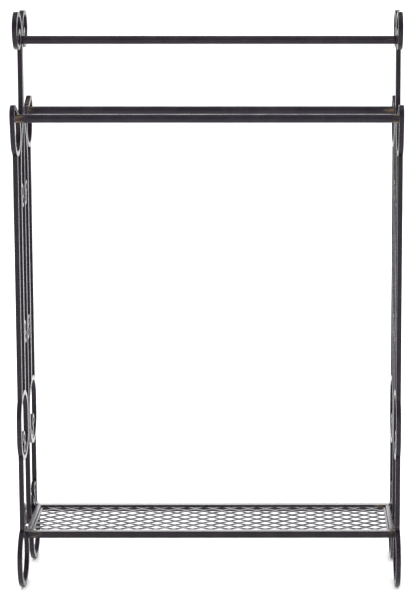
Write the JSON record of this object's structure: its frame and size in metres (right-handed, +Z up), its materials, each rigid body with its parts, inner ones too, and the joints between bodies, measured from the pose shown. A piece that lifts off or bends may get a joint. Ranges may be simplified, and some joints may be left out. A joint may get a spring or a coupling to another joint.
{
  "type": "towel stand",
  "caption": "Free-standing wrought-iron towel stand: scrollwork side frames of bent square bar, a top rail, front and back towel rails and a low mesh shelf.",
  "frame": {"origin": "on the floor at the middle of the footprint", "axes": "+Z up, +X to the right seen from the front, front towards -Y"},
  "size_m": [0.5924, 0.2256, 0.8905],
  "materials": {
    "frame_rods": "charcoal-black hammered paint, semi-gloss, pale where rods meet",
    "small_scrolls": "charcoal-black paint, semi-gloss, slightly rubbed",
    "towel_rails": "charcoal-black paint, semi-gloss, antique brown rub towards the ends",
    "plugs": "charcoal-black paint rubbed to antique bronze",
    "shelf_frame": "charcoal-black paint, semi-gloss, antique brown rub at the corners",
    "mesh": "charcoal-black paint over expanded metal, semi-gloss"
  },
  "bodies": {
    "root": {"left_scroll_rod_front": "frame_rods", "left_scroll_rod_back": "frame_rods", "left_center_rod": "frame_rods", "left_post_front_upper": "frame_rods", "left_post_back_upper": "frame_rods", "left_post_front_lower": "frame_rods", "left_post_back_lower": "frame_rods", "left_top_ring_front": "frame_rods", "left_top_ring_back": "frame_rods", "left_mid_ring_front": "frame_rods", "left_mid_ring_back": "frame_rods", "left_foot_ring_front": "frame_rods", "left_foot_ring_back": "frame_rods", "left_s_scrolls_upper": "small_scrolls", "left_s_scrolls_middle": "small_scrolls", "left_s_scrolls_ring": "small_scrolls", "left_s_scrolls_shelf": "small_scrolls", "right_scroll_rod_front": "frame_rods", "right_scroll_rod_back": "frame_rods", "right_center_rod": "frame_rods", "right_post_front_upper": "frame_rods", "right_post_back_upper": "frame_rods", "right_post_front_lower": "frame_rods", "right_post_back_lower": "frame_rods", "right_top_ring_front": "frame_rods", "right_top_ring_back": "frame_rods", "right_mid_ring_front": "frame_rods", "right_mid_ring_back": "frame_rods", "right_foot_ring_front": "frame_rods", "right_foot_ring_back": "frame_rods", "right_s_scrolls_upper": "small_scrolls", "right_s_scrolls_middle": "small_scrolls", "right_s_scrolls_ring": "small_scrolls", "right_s_scrolls_shelf": "small_scrolls", "top_bar": "towel_rails", "front_bar": "towel_rails", "back_bar": "towel_rails", "bar_plugs": "plugs", "shelf_rail_front": "shelf_frame", "shelf_rail_back": "shelf_frame", "shelf_rail_left": "shelf_frame", "shelf_rail_right": "shelf_frame", "shelf_border": "shelf_frame", "shelf_mesh": "mesh"}
  },
  "joints": []
}
